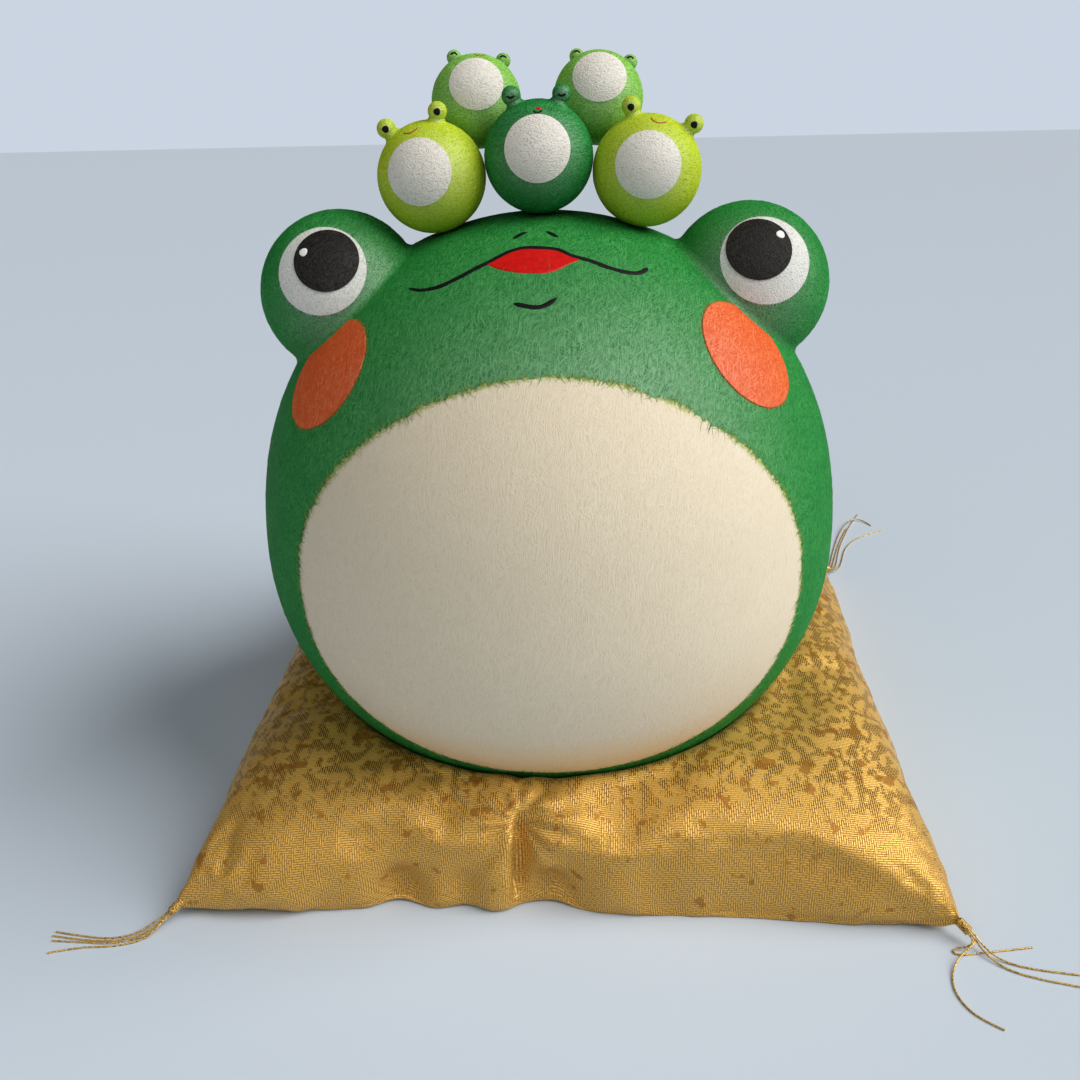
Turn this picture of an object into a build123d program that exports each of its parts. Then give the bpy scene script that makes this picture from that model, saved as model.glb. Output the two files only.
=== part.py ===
# A round frog made of layered paper over a mould, covered in fibrous paper and hollow inside.
# Five small ball frogs are glued on its head, and it sits in the dent that it presses into a
# square brocade cushion, which has a tassel of gold threads tied at each corner.
# Millimetres, +Z up, the frog faces -Y, and the origin is on the floor under the cushion's middle.
import os
from math import acos, asin, cos, degrees, exp, pi, radians, sin, sqrt, tan

from build123d import *

# Sheet and glue
paper = 0.3  # a covering sheet with its paste
glue_gap = 0.1  # left between balls that touch at one point

# The big frog's body, a shape of revolution
frog_x, frog_y = -7.7, -8.0  # it sits a little forward and left of the cushion's middle
seat_z = 12.0  # pressed cushion under the frog's flat base
wall = 3.0  # layers of paper
haunch_r, haunch_turn = 77.5, 61.3  # side's arc from the base up to the widest point
flank_r, flank_turn = 135.4, 10.0  # long arc just above the widest point
crown_r = 89.3  # the head is a ball above the flank
base_round = 4.0

# Eye bumps, one piece with the body
bump_r = 23.9
bump_azimuth = 88.0  # seen from the middle of the head's ball
bump_proud = 1.5  # its centre lies this far outside the head
bump_gap = 3.4  # between a bump and the small frog beside it
crease_round = 2.6

# Cut paper on the eyes and cheeks
eye_white_r, pupil_r, cheek_r = 12.5, 9.1, 16.5
eye_white_aim = {"left": (-6.3, 28.9), "right": (4.8, 30.1)}
pupil_aim = {"left": (-1.4, 34.9), "right": (-1.3, 36.6)}
cheek_aim = {"left": (-59.2, 36.9), "right": (54.6, 40.3)}

# Torn paper on the belly, as seen from the front
belly_side_gap = 19.5  # from its widest points out to the body's
belly_head_gap = 29.3  # from its top up to the head's
belly_lift = 8.0  # its widest line above the body's
belly_drop = 54.6
belly_shoulder = (0.715, 0.66)  # how square its upper and lower corners are, as shares
belly_hip = (0.795, 0.705)
belly_foot = (0.36, 0.955)

# Small frogs
front_r, back_r = 15.6, 13.2
row_shift = -0.5  # degrees that the front row is off the middle of the head
back_lean = 47.0  # degrees that the back row leans behind the front row
knob_r = {"front": 2.7, "back": 2.2}
knob_stand = 1.16  # knob's centre from the ball's centre, in ball radii
knob_flare = 1.3  # width of the knob's foot against the knob
neck_turn = -35.0  # where the bead ends below its widest ring
neck_hollow = 0.18  # how far the flare's middle comes out, as a share
small_belly_turn = 35.0  # degrees from the middle of the patch to its edge
small_belly_rise = {"front": 17.3, "back": -3.5}
# each small frog's sideways lean, backward tilt, turn, and how far its knobs stand from its top
small_pose = {
    "left": (-16.8, -1.7, -5.6, 25.5),
    "middle": (-1.2, -1.6, -1.2, 23.1),
    "right": (14.8, -5.1, -7.3, 30.4),
    "back_left": (3.9, 32.8, 1.2, 28.3),
    "back_right": (10.7, 37.4, -6.3, 31.3),
}

# Cushion
cushion_half = 108.3  # from the middle to a corner, along one side
cushion_turn = -3.34
side_z, fold_z, corner_z = 7.0, 5.5, 4.5  # height of the cover's edge on the floor
crown_rise = 32.0  # puffed top above the edge
fullness, squareness = 0.25, 0.3
sag = 5.0  # belly of the underside, pressed flat by the floor
seam_band = 1.0
side_pull, fold_pull = 4.0, 3.5  # the sides pull in between the corners
tuck_x, tuck_depth, tuck_width = -11.0, 4.0, 5.0  # pucker up the whole front fold
dips = ((-45.0, 2.2, 8.0), (2.0, 3.6, 9.0))  # place, depth and width of low puckers in the fold
ear_x, ear_swell, ear_width = 84.0, 3.6, 20.0  # the fold swells beside each front corner
grid_steps = 32
seat_gap = 0.3

# Knot at each corner of the cushion
corner_cut = 1.6
knot_length, knot_radius, knot_ridges = 4.2, 1.6, 3
knot_face_r = 1.2
knot_droop = 25.0

# Gold threads, four from each knot, as points from the knot to the loose end
# Where no height is given, the thread lies on the floor
thread_r = 0.25
floor_gap = 0.01
thread_z = thread_r + floor_gap
thread_spot = 0.4  # each thread's place on the knot's face, from its middle both ways
thread_lead = 1.6  # straight out of the knot
bend_share = 0.45  # of the shorter run that a bend takes up
thread_routes = {
    "front_left": [
        [
            (-119.8, -106.3, 1.4), (-122.3, -108.1, 0.5), (-126.2, -109.8), (-131.9, -110.9),
            (-140.0, -110.0), (-148.1, -108.4),
        ],
        [
            (-119.2, -106.9, 1.4), (-121.6, -108.9, 0.5), (-125.7, -110.7), (-131.8, -111.8),
            (-139.8, -110.8), (-147.6, -110.3),
        ],
        [
            (-120.5, -105.6, 1.9), (-123.2, -107.3, 0.8), (-126.9, -108.9), (-132.2, -109.9),
            (-140.1, -108.6), (-147.7, -106.9),
        ],
        [
            (-118.9, -107.8, 1.9), (-121.3, -110.1, 0.8), (-125.3, -111.8), (-131.6, -112.9),
            (-139.2, -112.8), (-146.9, -114.8),
        ],
    ],
    "front_right": [
        [
            (103.4, -118.8, 1.8), (101.7, -119.4, 1.3), (99.6, -118.9, 0.7), (98.1, -119.4, 0.35),
            (98.3, -120.7), (100.2, -121.1), (103.8, -120.7), (110.9, -119.9), (119.9, -118.8),
        ],
        [
            (105.2, -119.8, 1.5), (107.6, -123.9, 0.5), (111.6, -127.4), (118.0, -130.1),
            (126.6, -132.6), (134.0, -134.9),
        ],
        [
            (103.9, -119.1, 2.9), (102.3, -120.5, 2.5), (99.4, -122.2, 1.6), (96.6, -125.2, 0.7),
            (94.7, -129.3), (94.1, -133.6), (95.0, -137.9), (97.4, -142.2), (102.3, -145.8),
        ],
        [
            (105.9, -119.3, 1.9), (108.6, -122.6, 0.7), (112.4, -124.9), (118.4, -126.8),
            (127.6, -128.6), (136.0, -130.2),
        ],
    ],
    "back_left": [
        [
            (-105.3, 118.9, 1.5), (-107.0, 122.6, 0.5), (-109.2, 127.6), (-113.4, 133.2),
            (-119.2, 137.2), (-126.4, 139.0),
        ],
        [
            (-105.9, 118.6, 1.5), (-108.6, 121.6, 0.5), (-112.2, 125.2), (-117.2, 128.6),
            (-123.2, 130.2), (-130.4, 129.4),
        ],
        [
            (-104.8, 119.8, 2.0), (-105.6, 123.6, 0.8), (-106.8, 128.8), (-109.6, 135.4),
            (-114.8, 141.2), (-121.6, 144.6),
        ],
        [
            (-106.8, 118.0, 2.0), (-110.4, 120.0, 0.8), (-115.2, 121.8), (-121.2, 122.6),
            (-127.4, 121.2), (-133.4, 117.8),
        ],
    ],
    "back_right": [
        [
            (119.4, 106.9, 1.4), (121.6, 111.6, 0.4), (124.2, 119.4), (127.9, 131.1), (133.6, 144.4),
            (139.2, 156.6), (146.3, 169.3),
        ],
        [
            (118.7, 107.4, 1.4), (120.4, 112.4, 0.4), (122.9, 119.8), (126.7, 130.6), (131.8, 142.9),
            (136.4, 152.4),
        ],
        [
            (120.0, 106.0, 1.9), (122.9, 109.8, 0.7), (125.9, 117.4), (128.9, 126.9), (133.6, 135.8),
            (141.2, 143.6), (152.7, 149.8),
        ],
        [
            (117.8, 107.9, 2.0), (119.2, 112.2, 0.8), (121.4, 119.6), (125.2, 130.3),
            (130.1, 143.4, 0.4), (136.7, 156.2, 1.3), (142.4, 162.4, 1.3), (147.3, 161.4, 0.4),
            (149.2, 155.6),
        ],
    ],
}

# Worked out from the sizes above
equator_z = seat_z + haunch_r * sin(radians(haunch_turn))
half_width = flank_r - (flank_r - crown_r) * cos(radians(flank_turn))
crown_z = equator_z + (flank_r - crown_r) * sin(radians(flank_turn))
head_middle = Vector(0, 0, crown_z)
belly_mid_z = equator_z + belly_lift
belly_rise = crown_z + crown_r - belly_head_gap - belly_mid_z
belly_half_width = half_width - belly_side_gap
row_reach = crown_r + front_r + glue_gap  # from the head's middle to a seated small frog's
row_step = 2 * degrees(asin((front_r + glue_gap / 2) / row_reach))


def aim(azimuth, elevation):
    """Unit vector, azimuth from the front towards +X and elevation from level."""
    a, e = radians(azimuth), radians(elevation)
    return Vector(cos(e) * sin(a), -cos(e) * cos(a), sin(e))


def on_ball(azimuth, elevation):
    """Frame whose +Z leaves a ball in the given direction."""
    return Plane((0, 0, 0), z_dir=aim(azimuth, elevation)).location


def save(name, shape):
    """Writes one sub-part."""
    export_step(shape, f"parts/{name}.step")


def arc(cx, cz, r, start, end):
    """Arc in the XZ plane about (cx, cz), angles from +X towards +Z."""
    at = [(cx + r * cos(t), 0, cz + r * sin(t)) for t in (start, (start + end) / 2, end)]
    return Edge.make_three_point_arc(*at)


def side_arcs(offset, floor):
    """The body's side from the base up to the pole, grown outwards by an offset."""
    haunch_x = half_width - haunch_r
    low = asin((floor - equator_z) / (haunch_r + offset))
    turn = radians(flank_turn)
    return [
        arc(haunch_x, equator_z, haunch_r + offset, low, 0),
        arc(half_width - flank_r, equator_z, flank_r + offset, 0, turn),
        arc(0, crown_z, crown_r + offset, turn, pi / 2),
    ]


def turned_body(offset, floor):
    """The whole body of revolution, grown by an offset and cut flat at a floor."""
    side = side_arcs(offset, floor)
    foot, pole = side[0] @ 0, side[-1] @ 1
    base = Edge.make_line((0, 0, floor), foot)
    axis = Edge.make_line(pole, (0, 0, floor))
    return Rot(Z=90) * revolve(Face(Wire([base, *side, axis])), Axis.Z, 360)


def bump_places():
    """Frame at the centre of each eye bump, +Z out of the head, just clear of the small frogs."""
    bump_reach = crown_r + bump_proud
    apart = front_r + bump_r + bump_gap
    beside = degrees(acos((row_reach**2 + bump_reach**2 - apart**2) / (2 * row_reach * bump_reach)))
    elevation = 90 - row_step - abs(row_shift) - beside
    out = Pos(0, 0, bump_reach)
    return {
        "left": Pos(head_middle) * on_ball(-bump_azimuth, elevation) * out,
        "right": Pos(head_middle) * on_ball(bump_azimuth, elevation) * out,
    }


def paper_cap(ball_r, edge_r):
    """A round of paper pasted on a ball of the given radius, centred on the ball's +Z."""
    half = asin(edge_r / ball_r)
    inner = arc(0, 0, ball_r, pi / 2 - half, pi / 2)
    outer = arc(0, 0, ball_r + paper, pi / 2 - half, pi / 2)
    rim = Edge.make_line(inner @ 0, outer @ 0)
    axis = Edge.make_line(outer @ 1, inner @ 1)
    return revolve(Face(Wire([inner, rim, outer, axis])), Axis.Z, 360)


def turned_skin():
    """One sheet of paper pasted all over the body's side."""
    inner, outer = side_arcs(0, seat_z), side_arcs(paper, seat_z)
    foot = Edge.make_line(inner[0] @ 0, outer[0] @ 0)
    pole = Edge.make_line(outer[-1] @ 1, inner[-1] @ 1)
    return Rot(Z=90) * revolve(Face(Wire([*inner, *outer, foot, pole])), Axis.Z, 360)


def belly_outline():
    """Front view of the torn belly paper, mirrored about the frog's middle."""
    def place(share, height):
        return (share[0] * belly_half_width, belly_mid_z + share[1] * height)

    side = [
        place(belly_shoulder, belly_rise),
        (belly_half_width, belly_mid_z),
        place(belly_hip, -belly_drop),
        place(belly_foot, -belly_drop),
    ]
    points = [(0, 0, belly_mid_z + belly_rise)]
    points += [(x, 0, z) for x, z in side]
    points.append((0, 0, belly_mid_z - belly_drop))
    points += [(-x, 0, z) for x, z in reversed(side)]
    return Face(Wire([Edge.make_spline(points, periodic=True)]))


# Small frogs
def seated_row():
    """Centres of the three front balls, which touch each other and the head."""
    angles = {"left": row_shift - row_step, "middle": row_shift, "right": row_shift + row_step}
    return {name: head_middle + aim(90, 90 - angle) * row_reach for name, angle in angles.items()}


def stacked_ball(first, second):
    """Centre of a back ball, which leans on two front balls."""
    along = second - first
    reach = sqrt((front_r + back_r + glue_gap) ** 2 - (along.length / 2) ** 2)
    back = Vector(0, 1, 0)
    up = along.cross(back).normalized()
    lean = radians(back_lean)
    return (first + second) * 0.5 + (up * cos(lean) + back * sin(lean)) * reach


def knob(ball_r, size, stand):
    """Eye knob on +Z of a ball: a bead on a flared foot that is seated on the ball."""
    bead_z = ball_r * stand
    foot_r = size * knob_flare
    foot_z = sqrt(ball_r**2 - foot_r**2)
    neck = radians(neck_turn)
    neck_point = (size * cos(neck), 0, bead_z + size * sin(neck))
    waist_r = neck_point[0] + neck_hollow * (foot_r - neck_point[0])
    waist = (waist_r, 0, (foot_z + neck_point[2]) / 2)
    foot = Edge.make_line((0, 0, foot_z), (foot_r, 0, foot_z))
    flare = Edge.make_three_point_arc((foot_r, 0, foot_z), waist, neck_point)
    bead = arc(0, bead_z, size, neck, pi / 2)
    axis = Edge.make_line((0, 0, bead_z + size), (0, 0, foot_z))
    return revolve(Face(Wire([foot, flare, bead, axis])), Axis.Z, 360) - Sphere(ball_r)


def small_frog(ball_r, row, spread):
    """A ball frog about its own middle, facing -Y with its knobs on top."""
    bead = knob(ball_r, knob_r[row], knob_stand)
    patch = paper_cap(ball_r, ball_r * sin(radians(small_belly_turn)))
    return {
        "ball": Sphere(ball_r),
        "belly": on_ball(0, small_belly_rise[row]) * patch,
        "eye_left": Rot(Y=-spread) * bead,
        "eye_right": Rot(Y=spread) * bead,
    }


# Cushion
def bell(distance, width):
    """Smooth bump, 1 in the middle."""
    return exp(-((distance / width) ** 2))


def pillow_point(u, v, top):
    """A point of the cushion's cover, u and v from -1 to 1 between its corners."""
    su, sv = sin(pi / 2 * u), sin(pi / 2 * v)
    across = su * (1 + squareness - squareness * su**2)
    along = sv * (1 + squareness - squareness * sv**2)
    x = across * (cushion_half - side_pull * (1 - along**2))
    y = along * (cushion_half - fold_pull * (1 - across**4))
    front = max(0, -sv)
    y += tuck_depth * bell(x - tuck_x, tuck_width) * front**8
    for place, depth, width in dips:
        y += depth * bell(x - place, width) * front**24
    y -= ear_swell * bell(abs(x) - ear_x, ear_width) * front**12 * (1 - across**8)
    edge = fold_z + (side_z - fold_z) * across**6 * (1 - along**2)
    edge -= (fold_z - corner_z) * (across * along) ** 6
    crown = cos(pi / 2 * u) * cos(pi / 2 * v)
    if top:
        return (x, y, edge + seam_band / 2 + crown_rise * crown * (1 + fullness - fullness * crown))
    return (x, y, edge - seam_band / 2 - (edge + sag) * crown * (2 - crown))


def cover(top):
    """The upper or lower sheet of the cushion's cover."""
    ticks = [2 * i / grid_steps - 1 for i in range(grid_steps + 1)]
    rows = [[pillow_point(u, v, top) for u in ticks] for v in ticks]
    return Face.make_surface_from_array_of_points(rows, tol=0.02)


def sewn_edges(upper, lower):
    """Narrow seam faces between matching edges of the two sheets."""
    seams = []
    for edge in upper.edges():
        mate = min(lower.edges(), key=lambda other: (other.center() - edge.center()).length)
        seams.append(Face.make_surface_from_curves(edge, mate))
    return seams


def corner_frame(sx, sy):
    """Frame at a corner's tip, +Z outwards along the diagonal and drooping."""
    tip = Vector(sx * cushion_half, sy * cushion_half, corner_z)
    droop = radians(knot_droop)
    level = cos(droop) / sqrt(2)
    out = Vector(sx * level, sy * level, -sin(droop))
    side = Vector(-sy, sx, 0)
    return Rot(Z=cushion_turn) * Plane(tip - out * corner_cut, x_dir=side, z_dir=out).location


def knot():
    """A binding of gold thread, wound in ridges round a core."""
    pitch = knot_length / knot_ridges
    ridges = []
    for i in range(knot_ridges):
        low = (knot_face_r, 0, i * pitch)
        crest = (knot_radius, 0, (i + 0.5) * pitch)
        high = (knot_face_r, 0, (i + 1) * pitch)
        ridges.append(Edge.make_three_point_arc(low, crest, high))
    base = Edge.make_line((0, 0, 0), (knot_face_r, 0, 0))
    face = Edge.make_line((knot_face_r, 0, knot_length), (0, 0, knot_length))
    axis = Edge.make_line((0, 0, knot_length), (0, 0, 0))
    return revolve(Face(Wire([base, *ridges, face, axis])), Axis.Z, 360)


def thread(points):
    """A tube through straight runs and bends, each as large as its runs allow."""
    radii = []
    for before, corner, after in zip(points, points[1:], points[2:]):
        ahead, onward = corner - before, after - corner
        reach = bend_share * min(ahead.length, onward.length)
        radii.append(reach / tan(radians(ahead.get_angle(onward)) / 2))
    path = FilletPolyline(*points, radius=radii)
    section = Plane(path @ 0, z_dir=path % 0) * Circle(thread_r)
    return sweep(section, path=path), path.length, radii


os.makedirs("parts", exist_ok=True)
on_cushion = Pos(frog_x, frog_y, 0)

# Big frog: hollow shell with its eye bumps, pressed and pasted as one piece
body = turned_body(0, seat_z)
hollow = turned_body(-wall, seat_z + wall)
bumps = bump_places()
for frame in bumps.values():
    body += frame * Sphere(bump_r)
    hollow += frame * Sphere(bump_r - wall)
rings = body.edges().filter_by(GeomType.CIRCLE)
creases = [e for e in rings if e.center().Z > crown_z]
body = fillet(creases, crease_round)
base_edge = body.edges().filter_by(GeomType.CIRCLE).sort_by(Axis.Z)[0]
body = fillet(base_edge, base_round)
save("frog_body", on_cushion * (body - hollow))

# Paper pasted on it
for side, frame in bumps.items():
    centre = Pos(frame.position)
    white = on_ball(*eye_white_aim[side]) * paper_cap(bump_r, eye_white_r)
    pupil = on_ball(*pupil_aim[side]) * paper_cap(bump_r + paper, pupil_r)
    save(f"eye_white_{side}", on_cushion * centre * white)
    save(f"pupil_{side}", on_cushion * centre * pupil)
    cheek = Pos(head_middle) * on_ball(*cheek_aim[side]) * paper_cap(crown_r, cheek_r)
    save(f"cheek_{side}", on_cushion * (cheek - body))
torn_edge = extrude(belly_outline(), amount=2 * half_width, dir=(0, -1, 0))
save("belly_paper", on_cushion * (turned_skin() & torn_edge))

# Small frogs
balls = seated_row()
balls["back_left"] = stacked_ball(balls["left"], balls["middle"])
balls["back_right"] = stacked_ball(balls["middle"], balls["right"])
for name, centre in balls.items():
    row = "back" if name.startswith("back") else "front"
    lean, tilt, turn, spread = small_pose[name]
    ball_r = back_r if row == "back" else front_r
    place = on_cushion * Pos(centre) * Rot(Y=lean) * Rot(X=-tilt) * Rot(Z=turn)
    for piece, shape in small_frog(ball_r, row, spread).items():
        save(f"small_{name}_{piece}", place * shape)

# Cushion with the frog's dent
upper, lower = cover(True), cover(False)
cushion = Solid(Shell([upper, lower, *sewn_edges(upper, lower)]))
cushion = split(cushion, bisect_by=Plane.XY, keep=Keep.TOP)
cushion = Rot(Z=cushion_turn) * cushion
cushion -= on_cushion * turned_body(seat_gap, seat_z)
corners = {"front_left": (-1, -1), "front_right": (1, -1), "back_left": (-1, 1), "back_right": (1, 1)}
for name, signs in corners.items():
    frame = corner_frame(*signs)
    cushion -= frame * Pos(0, 0, cushion_half / 2) * Box(cushion_half, cushion_half, cushion_half)
    save(f"knot_{name}", frame * knot())
    spots = [(x, y) for y in (-thread_spot, thread_spot) for x in (-thread_spot, thread_spot)]
    for number, ((x, y), route) in enumerate(zip(spots, thread_routes[name]), 1):
        points = [(frame * Pos(x, y, knot_length + lead)).position for lead in (0, thread_lead)]
        points += [Vector(*point) if len(point) == 3 else Vector(*point, thread_z) for point in route]
        tube, length, radii = thread(points)
        print(f"thread_{name}_{number}", round(length, 1), "bends", [round(r, 1) for r in radii])
        save(f"thread_{name}_{number}", tube)
save("cushion", cushion)
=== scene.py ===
import random
from math import asin, copysign, cos, degrees, exp, hypot, pi, radians, sin, sqrt

import bmesh
import bpy
import numpy as np
from mathutils import Matrix, Vector, noise


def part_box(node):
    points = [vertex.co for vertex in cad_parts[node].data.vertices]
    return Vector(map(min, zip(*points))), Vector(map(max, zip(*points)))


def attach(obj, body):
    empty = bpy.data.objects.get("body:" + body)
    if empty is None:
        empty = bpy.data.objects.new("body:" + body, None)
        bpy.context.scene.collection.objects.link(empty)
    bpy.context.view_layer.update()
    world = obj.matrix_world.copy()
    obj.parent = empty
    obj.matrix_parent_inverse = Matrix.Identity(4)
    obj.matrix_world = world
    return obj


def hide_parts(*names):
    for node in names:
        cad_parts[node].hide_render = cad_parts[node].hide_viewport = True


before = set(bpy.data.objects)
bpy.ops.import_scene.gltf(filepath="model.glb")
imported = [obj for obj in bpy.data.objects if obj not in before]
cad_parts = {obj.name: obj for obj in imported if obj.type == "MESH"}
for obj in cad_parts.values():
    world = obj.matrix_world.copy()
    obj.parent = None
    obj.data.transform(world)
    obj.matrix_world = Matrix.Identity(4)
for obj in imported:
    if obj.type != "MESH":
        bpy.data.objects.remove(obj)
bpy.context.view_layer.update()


# The view
# The frog is looked down on from a little above its head and close in front, slightly turned.
def add_object(name, data):
    """An object, linked into the scene."""
    made = bpy.data.objects.new(name, data)
    bpy.context.collection.objects.link(made)
    return made


def set_all(thing, **values):
    """Sets several properties of one thing."""
    for name, value in values.items():
        setattr(thing, name, value)


camera_at = Vector((-0.0082, -0.349, 0.2307))
pitch, yaw, roll = radians(24.94), radians(-0.43), radians(1.30)
ahead = Vector((sin(yaw) * cos(pitch), cos(yaw) * cos(pitch), -sin(pitch)))
level = Vector((cos(yaw), -sin(yaw), 0))
below = ahead.cross(level)
rightward = level * cos(roll) + below * sin(roll)
downward = below * cos(roll) - level * sin(roll)
camera = add_object("camera", bpy.data.cameras.new("camera"))
set_all(camera.data, sensor_width=36, lens=37.89, clip_start=0.01)
turned = Matrix((rightward, -downward, -ahead)).transposed()
camera.matrix_world = Matrix.Translation(camera_at) @ turned.to_4x4()
bpy.context.scene.camera = camera


# The floor and the light
# A pale painted table top, lit by wide soft daylight from the upper right and a weak wide
# light from the left in front, in a dim room.
mm = 0.001


def add_node(tree, kind, sockets=None, **options):
    """Adds a node, sets its options and fills its input sockets with values or links."""
    made = tree.nodes.new(kind if kind.startswith("NodeGroup") else f"ShaderNode{kind}")
    set_all(made, **options)
    for socket, value in (sockets or {}).items():
        if isinstance(value, bpy.types.NodeSocket):
            tree.links.new(value, made.inputs[socket])
        else:
            made.inputs[socket].default_value = value
    return made


def new_material(name):
    """A material without any nodes yet, and its node tree."""
    material = bpy.data.materials.new(name)
    material.use_nodes = True
    tree = material.node_tree
    tree.nodes.clear()
    return material, tree


def finish_material(tree, sockets):
    """Principled shader straight into the output."""
    shader = add_node(tree, "BsdfPrincipled", sockets)
    add_node(tree, "OutputMaterial", {"Surface": shader.outputs[0]})


def shade(red, green, blue):
    """A colour given as it looks on a screen, from 0 to 255."""
    light = [c / 255 for c in (red, green, blue)]
    return (*[c / 12.92 if c <= 0.04045 else ((c + 0.055) / 1.055) ** 2.4 for c in light], 1)


def plain_material(name, colour, roughness=0.6, specular=0.5):
    """A material that is the same all over, its colour from 0 to 255."""
    material, tree = new_material(name)
    sockets = {"Base Color": shade(*colour), "Roughness": roughness, "Specular IOR Level": specular}
    finish_material(tree, sockets)
    return material


def new_mesh(name, points, faces, smooth=True):
    """A mesh from points in millimetres."""
    mesh = bpy.data.meshes.new(name)
    mesh.from_pydata([tuple(p * mm) for p in points], [], faces, shade_flat=not smooth)
    return mesh


floor_reach = 2000.0
corners = [Vector((x, y, 0)) * floor_reach for x, y in ((-1, -1), (1, -1), (1, 1), (-1, 1))]
floor_mesh = new_mesh("floor", corners, [(0, 1, 2, 3)])
floor_mesh.materials.append(plain_material("floor_paint", (202, 214, 227), 0.6, 0.3))
table_top = add_object("table_top", floor_mesh)

lit_point = Vector((0, 0, 0.1))


def add_lamp(name, place, power, colour, spread):
    """A wide lamp aimed at the frog from a place, its spread in degrees."""
    lamp = bpy.data.lights.new(name, "SUN")
    set_all(lamp, energy=power, color=colour, angle=radians(spread))
    aimed = (lit_point - Vector(place)).to_track_quat("-Z", "Y").to_matrix()
    add_object(name, lamp).matrix_world = Matrix.Translation(place) @ aimed.to_4x4()


add_lamp("window", (0.70, -0.10, 0.72), 3.3, (1.0, 0.98, 0.95), 50)
add_lamp("room_light", (-0.2, -0.5, 0.8), 0.8, (1.0, 0.98, 0.96), 70)

room = bpy.data.worlds.new("room")
room.use_nodes = True
tree = room.node_tree
tree.nodes.clear()
ambient = add_node(tree, "Background", {"Color": (0.80, 0.87, 1.0, 1), "Strength": 0.04})
backdrop = add_node(tree, "Background", {"Color": (0.60, 0.66, 0.76, 1), "Strength": 1.0})
seen = add_node(tree, "LightPath").outputs["Is Camera Ray"]
shown = add_node(tree, "MixShader", {0: seen, 1: ambient.outputs[0], 2: backdrop.outputs[0]})
add_node(tree, "OutputWorld", {"Surface": shown.outputs[0]})
bpy.context.scene.world = room
bpy.context.scene.view_settings.view_transform = "Standard"


# The cushion
# A square bag of gold brocade, folded at the front and sewn round its other sides, stuffed and
# tied at its corners. It is cut as two sheets, puffed up by a cloth simulation round the dent
# that the frog presses into it, and puckered along its seams.
cushion_half, cushion_turn = 108.3, radians(-3.34)
side_z, fold_z, corner_z = 7.0, 5.5, 4.5
crown_rise, fullness, squareness = 32.0, 0.25, 0.3
sag, seam_band = 5.0, 1.0
side_pull, fold_pull = 4.0, 3.5
tuck_x, tuck_depth, tuck_width = -11.0, 4.0, 5.0
dips = ((-45.0, 2.2, 8.0), (2.0, 3.6, 9.0))
ear_x, ear_swell, ear_width = 84.0, 3.6, 20.0
frog_at = Vector((-7.7, -8.0, 0))
haunch_middle, equator_z, haunch_r, flat_z = 12.5, 79.98, 77.5, 12.0
dent_gap, dent_blend = 0.35, 1.6
sheet_steps = 100
crowding, crowd_at, crowd_width = 0.6, -0.06, 0.1


def bell(distance, width):
    """Smooth bump, 1 in the middle."""
    return np.exp(-((distance / width) ** 2))


def pillow_sheet(top):
    """Points of the cushion's upper or lower sheet, before the frog sits on it, in millimetres."""
    even = np.linspace(-1, 1, sheet_steps + 1)
    drawn_in = even - crowding * crowd_width * np.tanh((even - crowd_at) / crowd_width)
    drawn_in = 2 * (drawn_in - drawn_in[0]) / (drawn_in[-1] - drawn_in[0]) - 1
    su, sv = np.meshgrid(np.sin(pi / 2 * drawn_in), np.sin(pi / 2 * even))
    across = su * (1 + squareness - squareness * su**2)
    along = sv * (1 + squareness - squareness * sv**2)
    x = across * (cushion_half - side_pull * (1 - along**2))
    y = along * (cushion_half - fold_pull * (1 - across**4))
    front = np.maximum(0, -sv)
    y += tuck_depth * bell(x - tuck_x, tuck_width) * front**8
    for place, depth, width in dips:
        y += depth * bell(x - place, width) * front**24
    y -= ear_swell * bell(np.abs(x) - ear_x, ear_width) * front**12 * (1 - across**8)
    edge = fold_z + (side_z - fold_z) * across**6 * (1 - along**2)
    edge -= (fold_z - corner_z) * (across * along) ** 6
    crown = np.sqrt(1 - su**2) * np.sqrt(1 - sv**2)
    if top:
        z = edge + seam_band / 2 + crown_rise * crown * (1 + fullness - fullness * crown)
    else:
        z = edge - seam_band / 2 - (edge + sag) * crown * (2 - crown)
    turned_x = x * cos(cushion_turn) - y * sin(cushion_turn)
    turned_y = x * sin(cushion_turn) + y * cos(cushion_turn)
    return np.stack((turned_x, turned_y, z), axis=-1)


def under_frog(x, y):
    """Height of the frog's underside above each point, in millimetres."""
    r = np.hypot(x - frog_at.x, y - frog_at.y)
    inside = np.clip(haunch_r**2 - (r - haunch_middle) ** 2, 0, None)
    out_of_reach = 200.0
    round_part = np.where(r < haunch_middle + haunch_r, equator_z - np.sqrt(inside), out_of_reach)
    return np.maximum(np.where(r < haunch_middle, flat_z, round_part), flat_z)


def soft_lower(a, b, blend):
    """Smooth minimum of two heights."""
    share = np.clip(0.5 + 0.5 * (b - a) / blend, 0, 1)
    return b * (1 - share) + a * share - blend * share * (1 - share)


def lay_along(sheet, axis, start):
    """Length of cloth along one direction of a sheet, from a starting row or column."""
    steps = np.linalg.norm(np.diff(sheet, axis=axis), axis=-1)
    total = np.insert(np.cumsum(steps, axis=axis), 0, 0, axis=axis)
    return total - np.take(total, [start], axis=axis)


def grid_faces(rows, columns, first=0, closed=False, flipped=False):
    """Faces between rows of points, each row open or closed into a ring."""
    faces = []
    for j in range(rows - 1):
        for i in range(columns if closed else columns - 1):
            a, b = first + j * columns + i, first + j * columns + (i + 1) % columns
            face = (a, b, b + columns, a + columns)
            faces.append((a, *face[:0:-1]) if flipped else face)
    return faces


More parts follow.
